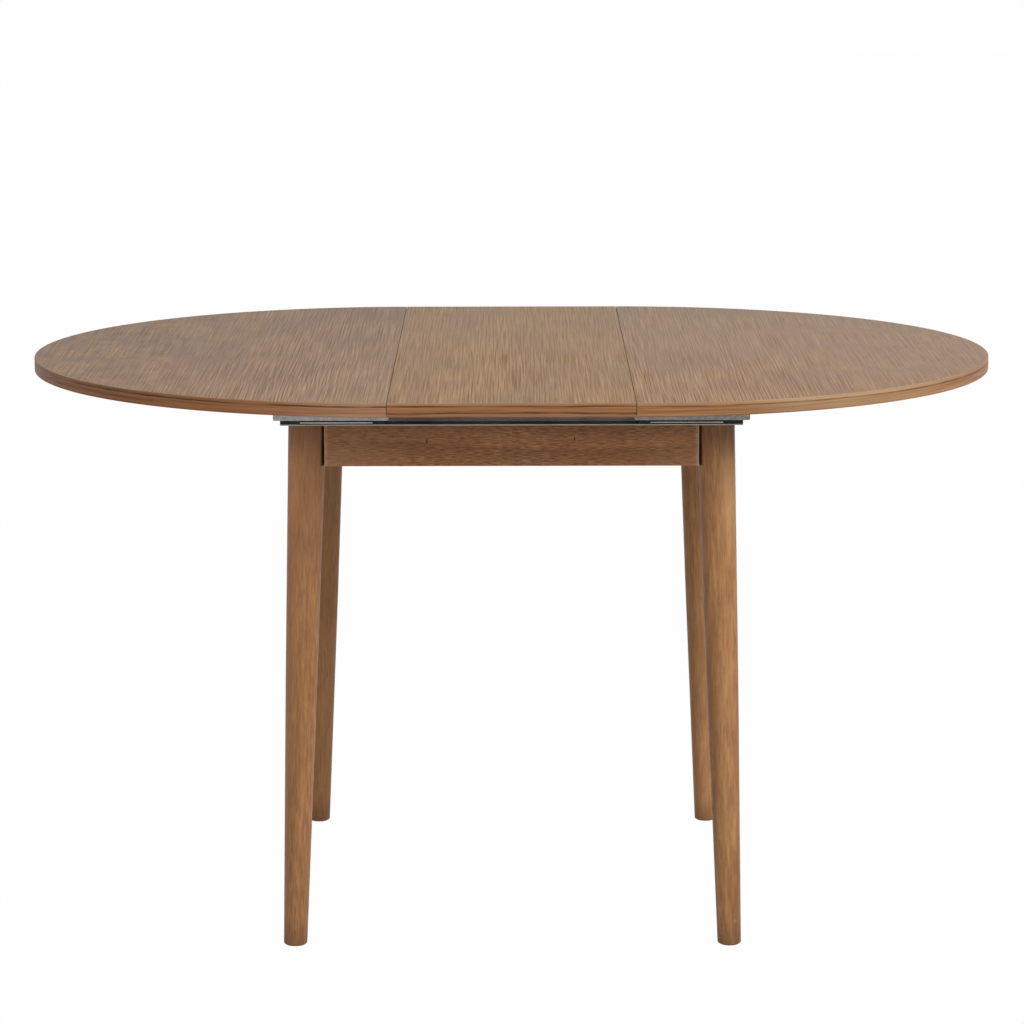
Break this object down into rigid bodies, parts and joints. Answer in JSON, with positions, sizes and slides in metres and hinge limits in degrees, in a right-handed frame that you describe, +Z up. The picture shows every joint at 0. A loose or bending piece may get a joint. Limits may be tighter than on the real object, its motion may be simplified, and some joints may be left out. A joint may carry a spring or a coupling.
{
  "type": "extending dining table",
  "caption": "Extending round dining table with half-disc tops that slide apart on metal runners for a loose leaf, on an apron frame with turned, splayed legs.",
  "frame": {"origin": "on the floor, under the middle of the drawn-out top", "axes": "+X the way the halves run apart, to the right in the picture; -Y the pictured front; +Z up"},
  "size_m": [1.3168, 1, 0.755],
  "materials": {
    "top_veneer": "matt lacquered veneer",
    "edge_band": "matt lacquered edge band",
    "leg_wood": "matt lacquered solid wood",
    "apron_wood": "matt lacquered solid wood",
    "block_wood": "bare hardwood",
    "rail_steel": "dark grey coated steel",
    "slider_steel": "zinc plated sheet",
    "glide_plastic": "matt black",
    "felt": "dark felt",
    "fastener_steel": "zinc plated"
  },
  "bodies": {
    "frame": {"front_apron": "apron_wood", "rear_apron": "apron_wood", "left_apron": "apron_wood", "right_apron": "apron_wood", "front_left_leg": "leg_wood", "front_right_leg": "leg_wood", "rear_left_leg": "leg_wood", "rear_right_leg": "leg_wood", "front_left_corner_block": "block_wood", "front_right_corner_block": "block_wood", "rear_left_corner_block": "block_wood", "rear_right_corner_block": "block_wood", "front_left_foot_pad": "felt", "front_right_foot_pad": "felt", "rear_left_foot_pad": "felt", "rear_right_foot_pad": "felt", "leg_bolts": "fastener_steel", "leg_washers": "fastener_steel", "leg_nuts": "fastener_steel", "corner_block_screws": "fastener_steel", "front_rail": "rail_steel", "rear_rail": "rail_steel", "rail_screws": "fastener_steel"},
    "left_top": {"left_board": "top_veneer", "left_edge_band": "edge_band", "left_front_slider": "slider_steel", "left_rear_slider": "slider_steel", "left_glides": "glide_plastic", "left_stop_pins": "fastener_steel", "left_slider_screws": "fastener_steel"},
    "right_top": {"right_board": "top_veneer", "right_edge_band": "edge_band", "right_front_slider": "slider_steel", "right_rear_slider": "slider_steel", "right_glides": "glide_plastic", "right_stop_pins": "fastener_steel", "right_slider_screws": "fastener_steel"},
    "loose_leaf": {"leaf_board": "top_veneer", "leaf_front_band": "edge_band", "leaf_rear_band": "edge_band", "leaf_left_batten": "block_wood", "leaf_right_batten": "block_wood", "leaf_batten_screws": "fastener_steel"}
  },
  "joints": [
    {"name": "left_top_slide", "type": "slide", "parent": "frame", "child": "left_top", "axis": [-1, 0, 0], "range_m": [0, 0.015]},
    {"name": "right_top_slide", "type": "slide", "parent": "frame", "child": "right_top", "axis": [1, 0, 0], "range_m": [0, 0.015]},
    {"name": "leaf_lift", "type": "slide", "parent": "frame", "child": "loose_leaf", "axis": [0, 0, 1], "range_m": [0, 0.3]}
  ]
}
